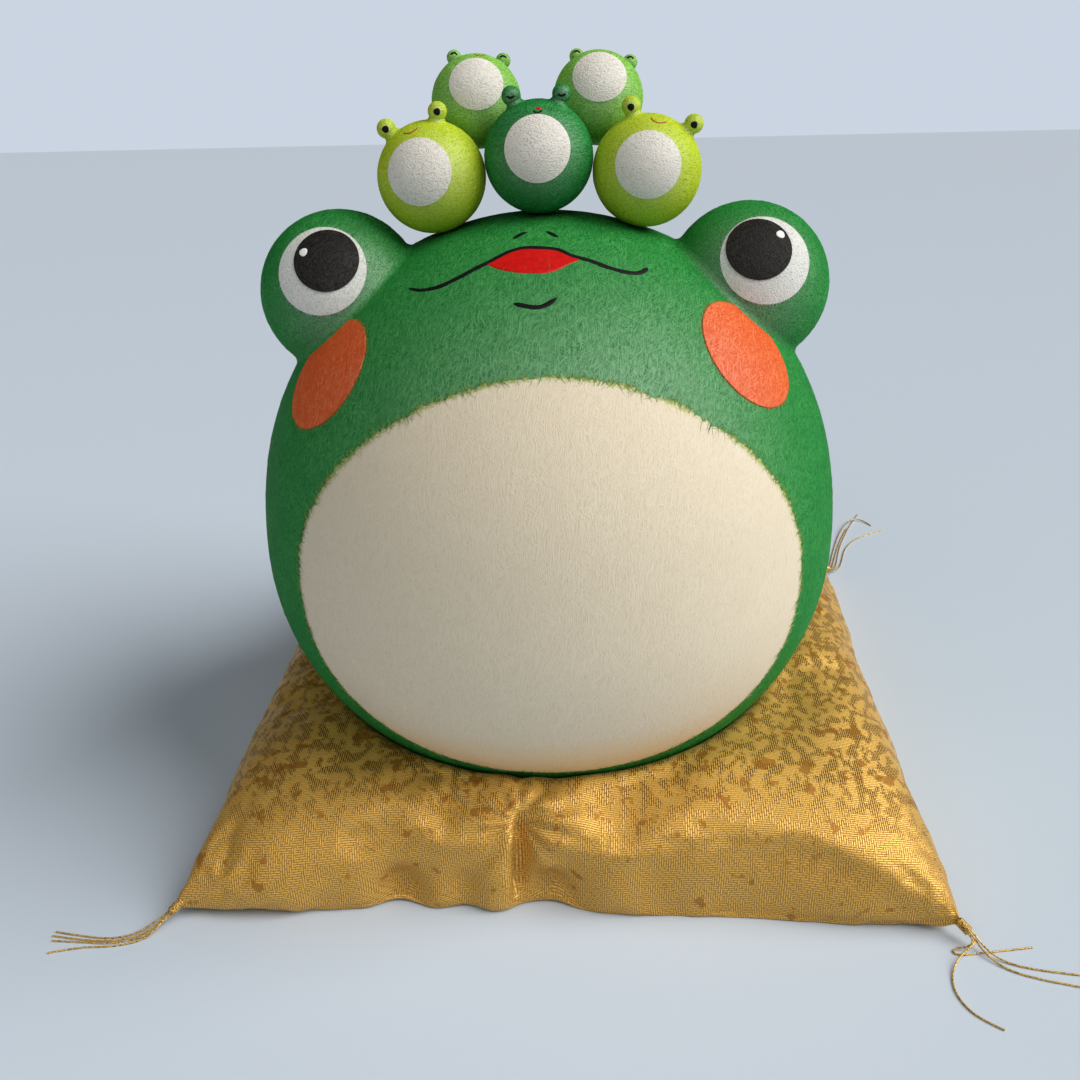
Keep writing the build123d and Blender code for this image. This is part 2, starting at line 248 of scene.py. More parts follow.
upper, lower = pillow_sheet(True), pillow_sheet(False)
mid_column = int(np.argmin(np.abs(upper[sheet_steps // 2, :, 0])))
weave, to_seam = [], []
for sheet, sign in ((upper, 1), (lower, -1)):
    laid = (lay_along(sheet, 1, mid_column), sign * (lay_along(sheet, 0, 0) + seam_band / 2))
    weave.append(np.stack((*laid, 0 * laid[0]), axis=-1))
    left, back = lay_along(sheet, 1, 0), -lay_along(sheet, 0, sheet_steps)
    to_seam.append(np.minimum(np.minimum(left, left[:, -1:] - left), back))

dent = under_frog(upper[..., 0], upper[..., 1]) - dent_gap
pressed = upper[..., 2] > dent - dent_blend
upper[..., 2] = soft_lower(upper[..., 2], dent, dent_blend)
lower[..., 2] = np.maximum(lower[..., 2], 0.0)

side = sheet_steps + 1
sheet_points = side * side
points = np.concatenate((upper, lower)).reshape(-1, 3)
quads = []
for above, below in zip(grid_faces(side, side), grid_faces(side, side, sheet_points, flipped=True)):
    quads += [above, below]
grid = np.arange(sheet_points).reshape(side, side)
rim = [int(i) for i in (*grid[0], *grid[1:, -1], *grid[-1, -2::-1], *grid[-2:0:-1, 0])]
quads += [(b, a, a + sheet_points, b + sheet_points) for a, b in zip(rim, rim[1:] + rim[:1])]
cut_mesh = new_mesh("cut_sheets", points, quads)
noted = cut_mesh.attributes.new("weave", "FLOAT_VECTOR", "POINT")
noted.data.foreach_set("vector", np.concatenate(weave).ravel())
noted = cut_mesh.attributes.new("to_seam", "FLOAT", "POINT")
noted.data.foreach_set("value", np.concatenate(to_seam).ravel())
sheets = add_object("cut_sheets", cut_mesh)


def read_values(data, key, width=3):
    """A mesh's values, one row for each point."""
    flat = np.empty(len(data) * width)
    data.foreach_get(key, flat)
    return flat.reshape(-1, width)


def write_points(mesh, places):
    """Moves the mesh's points to the places given in millimetres."""
    mesh.vertices.foreach_set("co", (places * mm).ravel())
    mesh.update()


# the stuffing pushes the cloth out everywhere but in the dent and at the tied corners
puff_frames, puff_pressure, puff_limit, side_share = 16, 3.0, 3.0, 0.35
cloth_gain, corner_reach = 0.03, 9.0
held = sheets.vertex_groups.new(name="held")
from_corner = np.hypot(np.abs(points[:, 0]) - cushion_half, np.abs(points[:, 1]) - cushion_half)
fixed = from_corner < corner_reach
fixed[:sheet_points] |= pressed.ravel()
fixed |= points[:, 2] < seam_band / 2
held.add([int(i) for i in np.flatnonzero(fixed)], 1.0, "REPLACE")
cloth = sheets.modifiers.new("stuffing", "CLOTH")
brocade_cloth = cloth.settings
set_all(brocade_cloth, quality=5, mass=0.2, vertex_group_mass="held", shrink_min=-cloth_gain)
set_all(brocade_cloth, tension_stiffness=12, compression_stiffness=4)
set_all(brocade_cloth, shear_stiffness=4, bending_stiffness=0.1)
set_all(brocade_cloth, use_pressure=True, uniform_pressure_force=puff_pressure)
brocade_cloth.effector_weights.gravity = 0
cloth.collision_settings.use_collision = False
for step in range(1, puff_frames + 1):
    bpy.context.scene.frame_set(step)
puffed = sheets.evaluated_get(bpy.context.evaluated_depsgraph_get())
moved = read_values(puffed.data.vertices, "co") / mm - points
moved[:, 0] *= side_share
reach = np.linalg.norm(moved, axis=1, keepdims=True)
moved *= puff_limit * np.tanh(reach / puff_limit) / np.maximum(reach, 1e-6)
sheets.modifiers.remove(cloth)
bpy.context.scene.frame_set(1)
write_points(cut_mesh, points + moved)

smoothing = sheets.modifiers.new("rounding", "SUBSURF")
smoothing.levels = smoothing.render_levels = 1
rounded = sheets.evaluated_get(bpy.context.evaluated_depsgraph_get())
cushion_mesh = bpy.data.meshes.new_from_object(rounded)
cushion_mesh.name = "brocade_cushion"
bpy.data.objects.remove(sheets)

# stitches draw the cloth in along the sewn sides, and the frog's seat and the floor press it
pucker_pitch, pucker_depth, pucker_reach = 6.5, 0.55, 5.0
wander_length, wander_row, pitch_wander, even_share = 17, 3.7, 0.9, 0.7
points = read_values(cushion_mesh.vertices, "co") / mm
normals = read_values(cushion_mesh.vertices, "normal")
from_seam = read_values(cushion_mesh.attributes["to_seam"].data, "value", 1)[:, 0]
cushion_mesh.attributes.remove(cushion_mesh.attributes["to_seam"])
run = np.where(np.abs(points[:, 0]) > np.abs(points[:, 1]), points[:, 1], points[:, 0])
wander = np.array([noise.noise(Vector((r / wander_length, wander_row, 0))) for r in run])
pucker = np.cos(2 * pi * (run / pucker_pitch + pitch_wander * wander)) * (even_share + wander)
points += normals * (pucker_depth * pucker * np.exp(-from_seam / pucker_reach))[:, None]

# the tuck in the front fold: a groove that opens downwards, a fold beside it and fanned creases,
# and the notches where the fold's foot lifts off the floor
tuck_top, groove_depth, groove_slant = 24.0, 3.6, 1.2
opens_over, furthest_down, foot_end, foot_fade = 0.2, 1.4, -2, 5
# how wide the groove's left and right walls are at its top, and what they gain downwards
groove_walls = ((0.8, 0.3), (0.9, 2.6))
fold_beside, fold_height, fold_width = 3.2, 1.2, 1.9
crease_top, crease_height, crease_count, crease_reach, crease_start = 3, 0.55, 11, 8.0, 3
# each notch's place along the fold, its depth and its width
notches = ((-46.0, 4.6, 7.0), (-27.0, 3.6, 5.0), (-2.0, 5.6, 6.0))
notch_reach, notch_lift = 7.0, 0.5
laid = read_values(cushion_mesh.attributes["weave"].data, "vector")
laid_across, laid_back = laid[:, 0], laid[:, 1]
down = np.clip((tuck_top - laid_back) / tuck_top, 0, furthest_down)
above_foot = np.clip((laid_back - foot_end) / foot_fade, 0, 1)
aside = laid_across - (tuck_x - groove_slant + groove_slant * (1 - down))
groove_width = np.where(aside < 0, *[width + gain * down for width, gain in groove_walls])
groove = fold_height * bell(aside + fold_beside, fold_width)
groove -= groove_depth * bell(aside, groove_width)
fan_down = tuck_top - crease_top - laid_back
fan = np.arctan2(laid_across - tuck_x, fan_down)
from_tuck = np.hypot(laid_across - tuck_x, fan_down)
creases = np.cos(crease_count * fan) * (from_tuck / crease_start)
creases *= np.exp(-from_tuck / crease_reach)
tucked = groove * np.clip(down / opens_over, 0, 1) + crease_height * creases
points += normals * (tucked * above_foot)[:, None]
for place, depth, width in notches:
    notch = depth * bell(laid_across - place, width) * bell(laid_back, notch_reach)
    points[:, 1] += notch
    points[:, 2] += notch * notch_lift
seat = under_frog(points[:, 0], points[:, 1]) - dent_gap
points[:, 2] = np.where(normals[:, 2] > 0, np.minimum(points[:, 2], seat), points[:, 2])
points[:, 2] = np.maximum(points[:, 2], 0.0)
write_points(cushion_mesh, points)


def linked(kind, sockets, **options):
    """Adds a node to the tree that the links given to it come from."""
    tree = next(v.id_data for v in sockets.values() if isinstance(v, bpy.types.NodeSocket))
    return add_node(tree, kind, sockets, **options)


def calc(operation, *values):
    """One step of arithmetic on numbers."""
    return linked("Math", dict(enumerate(values)), operation=operation).outputs[0]


def times(first, second):
    """Product of two numbers."""
    return calc("MULTIPLY", first, second)


def vector_calc(operation, *values):
    """One step of arithmetic on vectors."""
    return linked("VectorMath", dict(enumerate(values)), operation=operation).outputs[0]


def noise_at(place, scale, detail=2.0):
    """Soft random values from 0 to 1 over the surface."""
    return linked("TexNoise", {"Vector": place, "Scale": scale, "Detail": detail}).outputs[0]


def stretch(value, low, high, to_low=0.0, to_high=1.0):
    """Maps a value's range onto another and stops at its ends."""
    sockets = dict(enumerate((value, low, high, to_low, to_high)))
    return linked("MapRange", sockets).outputs[0]


def mix_values(share, first, second):
    """First value where the share is 0, second where it is 1."""
    return linked("Mix", {0: share, 2: first, 3: second}, data_type="FLOAT").outputs[0]


def mix_colours(share, first, second):
    """First colour where the share is 0, second where it is 1."""
    return linked("Mix", {0: share, 6: first, 7: second}, data_type="RGBA").outputs[2]


def relief_of(height, depth, strength):
    """Normal of a surface whose height values stand so many millimetres deep."""
    sockets = {"Height": height, "Distance": depth * mm, "Strength": strength}
    return linked("Bump", sockets).outputs[0]


# Brocade: ribs of gold weft float over a brown warp, across or along in patches with stepped
# borders, and the warp shows between the ribs and lies bare in blotches. Painted light and shade
# set the top apart from the front: on top the gaps between upright ribs are painted darker, those
# between level ribs lighter, and more blotches show.
brocade, tree = new_material("gold_brocade")
rib_pitch, float_length, tie_step = 0.64, 2.3, 0.38
patch_size, patch_stretch, blotch_size = 2.9, 0.6, 6.0
top_from, top_to = 16.0, 40.0
cloth = add_node(tree, "Attribute", attribute_name="weave").outputs["Vector"]
stitch = vector_calc("SNAP", cloth, (rib_pitch,) * 3)
across, back, _ = linked("SeparateXYZ", {0: cloth}).outputs


def ribs(position, along):
    """Rounded ribs side by side, each tied down at intervals that step from rib to rib."""
    turns = times(position, pi / rib_pitch)
    profile = calc("ABSOLUTE", calc("SINE", turns))
    step = calc("FLOOR", calc("DIVIDE", position, rib_pitch))
    offset = calc("MULTIPLY_ADD", step, tie_step, calc("DIVIDE", along, float_length))
    tie = calc("ABSOLUTE", calc("SINE", times(offset, pi)))
    return times(profile, stretch(tie, 0.0, 0.35, 0.35, 1.0))


# how far onto the top a point lies, where the gaps and blotches get painted shade and light
top_painted_light = stretch(calc("ABSOLUTE", back), top_from, top_to)
drawn_back = vector_calc("MULTIPLY", stitch, (1.0, patch_stretch, 1.0))
turned_patch = stretch(noise_at(drawn_back, 1 / patch_size), 0.485, 0.505)
rib_height = mix_values(turned_patch, ribs(across, back), ribs(back, across))
elsewhere = vector_calc("ADD", stitch, (310.0, 170.0, 0.0))
# blotches come more often on top as painted shade
blotch_scatter_and_top_shade = calc("MULTIPLY_ADD", top_painted_light, 0.06, noise_at(elsewhere, 1 / blotch_size, 3.5))
blotches_with_top_shade = stretch(blotch_scatter_and_top_shade, 0.645, 0.68)
gap = stretch(rib_height, 0.35, 0.92, 1.0, 0.0)
# on top the upright ribs' gaps are painted darker and the level ribs' gaps lighter, as painted shade
# and light
upright_gap_painted_shade = calc("MULTIPLY_ADD", top_painted_light, 0.25, 0.75)
level_gap_painted_shade = calc("MULTIPLY_ADD", top_painted_light, -0.35, 0.7)
gap_share = times(gap, mix_values(turned_patch, upright_gap_painted_shade, level_gap_painted_shade))
rib_gold, gap_brown = shade(238, 190, 92), shade(134, 80, 12)
# the darker gap brown on top is painted shade
top_shaded_brown, blotch_brown = shade(84, 46, 4), shade(158, 100, 14)
upright_top_painted_shade = times(top_painted_light, calc("SUBTRACT", 1.0, turned_patch))
gap_colour = mix_colours(upright_top_painted_shade, gap_brown, top_shaded_brown)
dark_share = times(blotches_with_top_shade, 0.75)
colour = mix_colours(dark_share, mix_colours(gap_share, rib_gold, gap_colour), blotch_brown)
rib_relief = times(rib_height, calc("MULTIPLY_ADD", blotches_with_top_shade, -0.6, 1.0))
brocade_finish = {
    "Base Color": colour,
    "Normal": relief_of(rib_relief, 0.12, 0.7),
    "Roughness": stretch(dark_share, 0.0, 1.0, 0.44, 0.52),
    "Metallic": 0.42,
    "Sheen Weight": 0.12,
    "Sheen Roughness": 0.4,
    "Sheen Tint": shade(255, 226, 160),
}
finish_material(tree, brocade_finish)


def add_piece(name, shape, material, slot, *nodes):
    """A finished piece on the one body, which stands for the CAD nodes named."""
    shape.materials.append(material)
    piece = add_object(name, shape)
    if nodes:
        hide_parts(*nodes)
    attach(piece, "root")
    return piece


cushion = add_piece("brocade_cushion", cushion_mesh, brocade, "brocade", "cushion")


# The corner threads and knots
# Four gold threads, each a core wound with foil, come out of the knot at each corner, drop to
# the floor and lie there in loose curves with cut ends. The knot is the same thread wound round
# the gathered corner.
thread_diameter = 0.0005
thread_lie = 0.26
corner_signs = {
    "front_left": (-1, -1), "front_right": (1, -1), "back_left": (-1, 1), "back_right": (1, 1),
}
# the threads leave every knot alike, here as at the back right
thread_exits = (
    [(116.3, 103.0, 3.0), (117.4, 103.9, 2.4)],
    [(115.8, 103.6, 3.0), (116.9, 104.5, 2.4)],
    [(116.6, 103.2, 3.8), (117.7, 104.2, 3.1)],
    [(116.0, 103.8, 3.8), (117.1, 104.7, 3.1)],
)
thread_routes = {
    "front_left": [
        [(-119.8, -106.3, 1.4), (-122.3, -108.1, 0.5), (-126.2, -109.8), (-131.9, -110.9),
         (-140.0, -110.0), (-148.1, -108.4)],
        [(-119.2, -106.9, 1.4), (-121.6, -108.9, 0.5), (-125.7, -110.7), (-131.8, -111.8),
         (-139.8, -110.8), (-147.6, -110.3)],
        [(-120.5, -105.6, 1.9), (-123.2, -107.3, 0.8), (-126.9, -108.9), (-132.2, -109.9),
         (-140.1, -108.6), (-147.7, -106.9)],
        [(-118.9, -107.8, 1.9), (-121.3, -110.1, 0.8), (-125.3, -111.8), (-131.6, -112.9),
         (-139.2, -112.8), (-146.9, -114.8)],
    ],
    "front_right": [
        [(103.4, -118.8, 1.8), (101.7, -119.4, 1.3), (99.6, -118.9, 0.7), (98.1, -119.4, 0.35),
         (98.3, -120.7), (100.2, -121.1), (103.8, -120.7), (110.9, -119.9), (119.9, -118.8)],
        [(105.2, -119.8, 1.5), (107.6, -123.9, 0.5), (111.6, -127.4), (118.0, -130.1),
         (126.6, -132.6), (134.0, -134.9)],
        [(103.9, -119.1, 2.9), (102.3, -120.5, 2.5), (99.4, -122.2, 1.6), (96.6, -125.2, 0.7),
         (94.7, -129.3), (94.1, -133.6), (95.0, -137.9), (97.4, -142.2), (102.3, -145.8)],
        [(105.9, -119.3, 1.9), (108.6, -122.6, 0.7), (112.4, -124.9), (118.4, -126.8),
         (127.6, -128.6), (136.0, -130.2)],
    ],
    "back_left": [
        [(-105.3, 118.9, 1.5), (-107.0, 122.6, 0.5), (-109.2, 127.6), (-113.4, 133.2),
         (-119.2, 137.2), (-126.4, 139.0)],
        [(-105.9, 118.6, 1.5), (-108.6, 121.6, 0.5), (-112.2, 125.2), (-117.2, 128.6),
         (-123.2, 130.2), (-130.4, 129.4)],
        [(-104.8, 119.8, 2.0), (-105.6, 123.6, 0.8), (-106.8, 128.8), (-109.6, 135.4),
         (-114.8, 141.2), (-121.6, 144.6)],
        [(-106.8, 118.0, 2.0), (-110.4, 120.0, 0.8), (-115.2, 121.8), (-121.2, 122.6),
         (-127.4, 121.2), (-133.4, 117.8)],
    ],
    "back_right": [
        [(119.4, 106.9, 1.4), (121.6, 111.6, 0.4), (124.2, 119.4), (127.9, 131.1),
         (133.6, 144.4), (139.2, 156.6), (146.3, 169.3)],
        [(118.7, 107.4, 1.4), (120.4, 112.4, 0.4), (122.9, 119.8), (126.7, 130.6),
         (131.8, 142.9), (136.4, 152.4)],
        [(120.0, 106.0, 1.9), (122.9, 109.8, 0.7), (125.9, 117.4), (128.9, 126.9),
         (133.6, 135.8), (141.2, 143.6), (152.7, 149.8)],
        [(117.8, 107.9, 2.0), (119.2, 112.2, 0.8), (121.4, 119.6), (125.2, 130.3),
         (130.1, 143.4, 0.4), (136.7, 156.2, 1.3), (142.4, 162.4, 1.3), (147.3, 161.4, 0.4),
         (149.2, 155.6)],
    ],
}
gold_thread, tree = new_material("gold_thread")
place = add_node(tree, "TexCoord").outputs["Object"]
# the foil's colour runs dark and bright along its turns as painted glints and shade; the same turns
# give its relief
foil_turns_and_glints = noise_at(place, 2600.0, 1.0)
foil_glints = mix_colours(stretch(foil_turns_and_glints, 0.38, 0.56), shade(138, 96, 30), shade(240, 202, 116))
foil_relief = relief_of(foil_turns_and_glints, 0.08, 0.6)
thread_finish = {"Base Color": foil_glints, "Normal": foil_relief, "Roughness": 0.35, "Metallic": 0.5}
finish_material(tree, thread_finish)


def lay_thread(name, points):
    """A thread whose line is drawn by its points."""
    curve = bpy.data.curves.new(name, "CURVE")
    set_all(curve, dimensions="3D", bevel_depth=thread_diameter / 2, bevel_resolution=2)
    set_all(curve, resolution_u=6, use_fill_caps=True)
    spline = curve.splines.new("NURBS")
    spline.points.add(len(points) - 1)
    for point, place in zip(spline.points, points):
        point.co = (*place, 1)
    set_all(spline, order_u=3, use_endpoint_u=True)
    thread = add_piece(f"gold_{name}", curve, gold_thread, "gold_thread", name)


for corner, routes in thread_routes.items():
    right, rear = corner_signs[corner]
    cos_turn, sin_turn = (right + rear) / 2, (rear - right) / 2
    for number, (leaving, route) in enumerate(zip(thread_exits, routes)):
        line = []
        for x, y, z in leaving:
            line.append((cos_turn * x - sin_turn * y, sin_turn * x + cos_turn * y, z))
        line += [p if len(p) == 3 else (*p, thread_lie) for p in route]
        points = [Vector(p) * mm for p in line]
        lay_thread(f"thread_{corner}_{number + 1}", points)

corner_cut, knot_length, knot_core, knot_droop = 1.6, 4.2, 1.05, radians(25)
core_steps, core_sides = 6, 16
wraps, wrap_steps, wrap_sides, wrap_r = 8, 18, 6, 0.24
wrap_margin, wrap_out = 0.3, 0.14


def ring_mesh(rings, name):
    """A closed skin over rings of points, each end gathered into a cap."""
    sides, last = len(rings[0]), (len(rings) - 1) * len(rings[0])
    faces = grid_faces(len(rings), sides, closed=True)
    faces += [tuple(range(sides - 1, -1, -1)), tuple(range(last, last + sides))]
    return new_mesh(name, [p for ring in rings for p in ring], faces)


def tube_rings(line, radii, sides):
    """Rings of points round a line in millimetres."""
    rings = []
    for k, (p, r) in enumerate(zip(line, radii)):
        ahead = (line[min(k + 1, len(line) - 1)] - line[max(k - 1, 0)]).normalized()
        aside = aside - ahead * aside.dot(ahead) if k else ahead.orthogonal()
        aside.normalize()
        up = ahead.cross(aside)
        turns = [2 * pi * i / sides for i in range(sides)]
        rings.append([p + (aside * cos(t) + up * sin(t)) * r for t in turns])
    return rings


turn_cushion = Matrix.Rotation(cushion_turn, 3, "Z")
for corner, (sx, sy) in corner_signs.items():
    out = Vector((sx * cos(knot_droop) / sqrt(2), sy * cos(knot_droop) / sqrt(2), -sin(knot_droop)))
    tip = Vector((sx * cushion_half, sy * cushion_half, corner_z))
    start = turn_cushion @ (tip - out * corner_cut)
    out = turn_cushion @ out
    aside = out.orthogonal().normalized()
    up = out.cross(aside)
    core_line = [start + out * (knot_length * k / core_steps) for k in range(core_steps + 1)]
    core_rings = tube_rings(core_line, [knot_core] * len(core_line), core_sides)
    core = ring_mesh(core_rings, f"knot_core_{corner}")
    add_piece(f"gold_core_{corner}", core, gold_thread, "gold_thread", f"knot_{corner}")
    winding = []
    for k in range(wraps * wrap_steps + 1):
        t = k / wrap_steps
        s = wrap_margin + (knot_length - 2 * wrap_margin) * t / wraps
        round_core = aside * cos(2 * pi * t) + up * sin(2 * pi * t)
        winding.append(start + out * s + round_core * (knot_core + wrap_out))
    wrap_rings = tube_rings(winding, [wrap_r] * len(winding), wrap_sides)
    coil = ring_mesh(wrap_rings, f"winding_{corner}")
    add_piece(f"gold_winding_{corner}", coil, gold_thread, "gold_thread")


# The frog's body
# A hollow ball of layered paper, moulded with its two eye bumps, and covered all over in torn
# pieces of dyed green handmade paper whose fibres lie matted, mostly up and down. The CAD shell
# stays and gets the paper's finish, and loose hairs lie pasted on it.
paper_inputs = {
    "Place": "Vector", "Paper": "Color", "Pale Hairs": "Color", "Dark Pits": "Color",
    "Hair Width": "Float", "Pale Share": "Float", "Dark Share": "Float",
}
fibrous_paper = bpy.data.node_groups.new("fibrous_paper", "ShaderNodeTree")
for way, sockets in (("INPUT", paper_inputs), ("OUTPUT", {"Color": "Color", "Height": "Float"})):
    for label, kind in sockets.items():
        fibrous_paper.interface.new_socket(label, in_out=way, socket_type=f"NodeSocket{kind}")
given = add_node(fibrous_paper, "NodeGroupInput").outputs

# the hairs stray from straight lines by up to half this reach, in metres
drift_reach, drift_scale = 0.005, 80.0
drift_noise = {"Vector": given["Place"], "Scale": drift_scale, "Detail": 1.0}
drift = vector_calc("SUBTRACT", linked("TexNoise", drift_noise).outputs[1], (0.5, 0.5, 0.5))
drifted = vector_calc("MULTIPLY_ADD", drift, (drift_reach,) * 3, given["Place"])
clumps_across_hair = 0.85
fineness = calc("DIVIDE", clumps_across_hair, given["Hair Width"])

# the hairs follow the body's curve: the place is unrolled over its front and top from its middle
unrolled_r, body_middle = 0.09, (-0.0077, -0.008, 0.088)
from_middle = vector_calc("SUBTRACT", drifted, body_middle)
aside, behind, over = linked("SeparateXYZ", {0: from_middle}).outputs
ring_reach = calc("SQRT", calc("MULTIPLY_ADD", behind, behind, times(over, over)))
sideways = times(calc("ARCTAN2", aside, ring_reach), unrolled_r)
rolled_up = times(calc("ARCTAN2", times(behind, -1.0), over), unrolled_r)
outward = linked("VectorMath", {0: from_middle}, operation="LENGTH").outputs["Value"]
unrolled = linked("CombineXYZ", {0: sideways, 1: outward, 2: rolled_up}).outputs[0]


def hair_layer(place, turn, shift, length):
    """Matted hairs that run up a turned axis, so many times as long as wide."""
    turned = linked("VectorRotate", {"Vector": place, "Rotation": turn}, rotation_type="EULER_XYZ")
    drawn_out = vector_calc("MULTIPLY", turned.outputs[0], (1, 1, 1 / length))
    return noise_at(vector_calc("ADD", drawn_out, (shift, 0.0, 0.0)), fineness, 1.0)


upright_hairs = hair_layer(unrolled, (0, 0.12, 0), 0.0, 12.0)
slanting_hairs = hair_layer(unrolled, (0, 0.75, 0), 1.3, 11.0)
crossing_hairs = hair_layer(unrolled, (0, -0.95, 0), 2.9, 10.0)
standing_hairs = hair_layer(drifted, (0.12, 0.1, 0), 4.1, 10.0)
pits = times(stretch(upright_hairs, 0.50, 0.36), stretch(slanting_hairs, 0.56, 0.40))
hairs = calc("MAXIMUM", stretch(upright_hairs, 0.53, 0.66), stretch(slanting_hairs, 0.56, 0.68))
for layer in (crossing_hairs, standing_hairs):
    hairs = calc("MAXIMUM", hairs, stretch(layer, 0.58, 0.70))
clouds = noise_at(given["Place"], 90.0, 3.0)
pale_share = times(given["Pale Share"], stretch(clouds, 0.3, 0.7, 0.6, 1.3))
dark_share = times(pits, given["Dark Share"])
colour = mix_colours(dark_share, given["Paper"], given["Dark Pits"])
colour = mix_colours(times(hairs, pale_share), colour, given["Pale Hairs"])
height = calc("SUBTRACT", hairs, pits)
add_node(fibrous_paper, "NodeGroupOutput", {"Color": colour, "Height": height})


def lay_paper(tree, dyes, hair_width, shares):
    """The place on a piece, and its fibrous paper's colour and height there."""
    place = add_node(tree, "TexCoord").outputs["Object"]
    values = (place, *[shade(*dye) for dye in dyes], hair_width * mm, *shares)
    sockets = dict(zip(paper_inputs, values))
    mat = add_node(tree, "Group", sockets, node_tree=fibrous_paper).outputs
    return place, mat["Color"], mat["Height"]


def paper_finish(name, dyes, hair_width=0.28, shares=(0.42, 0.5), relief=0.06, gloss=0.85):
    """Material for one paper: the colours of the paper, its pale hairs and its dark pits, the hairs'
    width in millimetres, how much of both shows, its relief in millimetres and its gloss."""
    material, tree = new_material(name)
    _, colour, height = lay_paper(tree, dyes, hair_width, shares)
    # the hairs shine where the paper faces the eye, and their roughness swallows it at the rims
    rim = add_node(tree, "LayerWeight", {"Blend": 0.5}).outputs["Facing"]
    turned_to_eye = calc("POWER", calc("SUBTRACT", 1.0, rim), 2.5)
    shine = times(turned_to_eye, stretch(height, -1.0, 1.0, 0.3, 1.0))
    sockets = {
        "Base Color": colour,
        "Normal": relief_of(height, relief, 0.8),
        "Roughness": 0.6,
        "Specular IOR Level": 0.04,
        "Coat Weight": times(shine, gloss),
        "Coat Roughness": 0.66,
        "Coat IOR": 3.0,
    }
    finish_material(tree, sockets)
    return material


def dress(node, material):
    """Gives a CAD node its finish."""
    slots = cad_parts[node].material_slots
    for slot in slots:
        slot.material = material
    if not slots:
        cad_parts[node].data.materials.append(material)


green_dyes = ((24, 126, 50), (86, 176, 92), (2, 78, 24))
dress("frog_body", paper_finish("green_paper", green_dyes))

flank_r, flank_turn, crown_r = 135.4, radians(10.0), 89.3
half_width = flank_r - (flank_r - crown_r) * cos(flank_turn)
crown_z = equator_z + (flank_r - crown_r) * sin(flank_turn)
head_middle = frog_at + Vector((0, 0, crown_z))
arc_parts = (
    (haunch_middle, equator_z, haunch_r),
    (half_width - flank_r, equator_z, flank_r),
    (0.0, crown_z, crown_r),
)


def facing(azimuth, elevation):
    """Unit vector, azimuth from the front towards +X and elevation from level, in degrees."""
    a, e = radians(azimuth), radians(elevation)
    return Vector((cos(e) * sin(a), -cos(e) * cos(a), sin(e)))


def body_arc(height):
    """The arc that makes the body's side at a height: its ring's radius, height and own radius."""
    if height < equator_z:
        return arc_parts[0]
    return arc_parts[1] if height < crown_z + crown_r * sin(flank_turn) else arc_parts[2]


def body_reach(height):
    """The body's half width at a height."""
    ring, middle, r = body_arc(height)
    return ring + sqrt(max(r * r - (height - middle) ** 2, 1.0))


def on_body(azimuth, height, lift):
    """A point just above the body's paper, in millimetres."""
    ring, middle, r = body_arc(height)
    level = sqrt(max(r * r - (height - middle) ** 2, 0.0)) / r
    lifted = Vector((0, 0, middle + (height - middle) * (r + lift) / r))
    return frog_at + facing(azimuth, 0) * (ring + (r + lift) * level) + lifted


def hair_mesh(name, strands):
    """One mesh of tapered three-sided hairs, each given as a line of points and a width."""
    sides, taper = 3, 0.75
    corners, faces = [], []
    for line, width in strands:
        count, first = len(line), len(corners)
        radii = [width / 2 * (1 - taper * k / (count - 1)) for k in range(count)]
        for ring in tube_rings(line, radii, sides):
            corners.extend(ring)
        faces += grid_faces(count, sides, first, closed=True)
        last = first + sides * (count - 1)
        faces += [(first + 2, first + 1, first), (last, last + 1, last + 2)]
    return new_mesh(name, corners, faces, smooth=False)


def body_hair(azimuth, height, heading, length):
    """A hair pasted on the body: its heading is in radians from straight up."""
    lift, curl, steps = 0.02, 0.2, 7
    line = []
    for _ in range(steps):
        line.append(on_body(azimuth, height, lift))
        heading += random.gauss(0, curl)
        azimuth += degrees(sin(heading) * length / steps / body_reach(height))
        height += cos(heading) * length / steps
    return line


random.seed(11)
loose_hair = plain_material("loose_hair", (70, 156, 78))
hair_count, belly_clear, belly_low, belly_high, crown_from = 1500, 62, 30, 142, 150
hair_heights, hair_lengths, hair_widths = (24, 172), (2, 6), (0.08, 0.13)
side_lean, crown_lean = 0.5, 1.0
strands = []
while len(strands) < hair_count:
    azimuth, height = random.uniform(-180, 180), random.uniform(*hair_heights)
    if abs(azimuth) < belly_clear and belly_low < height < belly_high:
        continue
    heading = random.gauss(0, side_lean if height < crown_from else crown_lean)
    line = body_hair(azimuth, height, heading, random.uniform(*hair_lengths))
    strands.append((line, random.uniform(*hair_widths)))
add_piece("body_hairs", hair_mesh("body_hairs", strands), loose_hair, "body_paper")


# The belly paper
# One sheet of cream handmade paper, torn round by hand and pasted on the front. Its edge feathers
# out over the green, and green hairs from the edge of the paper beside it lie in on the cream.
belly_half_width, belly_mid_z = 70.5, equator_z + 8.0
belly_top, belly_top_power = 60.0, 1.86
belly_foot, belly_foot_power = 54.6, 2.42
belly_turns, belly_rings, ring_crowding = 720, 40, 1.6
belly_proud, tear_depth, tear_from = 0.3, 0.9, 12
tear_waves = ((9, Vector((0, 0, 0)), 0.9), (48, Vector((5, 0, 0)), 0.7), (130, Vector((0, 7, 0)), 0.5))
edge_sunk, edge_share, edge_rise = -0.05, 0.25, 1.5
feather_width = 0.8


def belly_edge(turn):
    """Half width and height from its middle of the paper's outline, at an angle."""
    c, s = cos(turn), sin(turn)
    rise, power = (belly_top, belly_top_power) if s > 0 else (belly_foot, belly_foot_power)
    x = copysign(belly_half_width * abs(c) ** (2 / power), c)
    z = copysign(rise * abs(s) ** (2 / power), s)
    return x, z


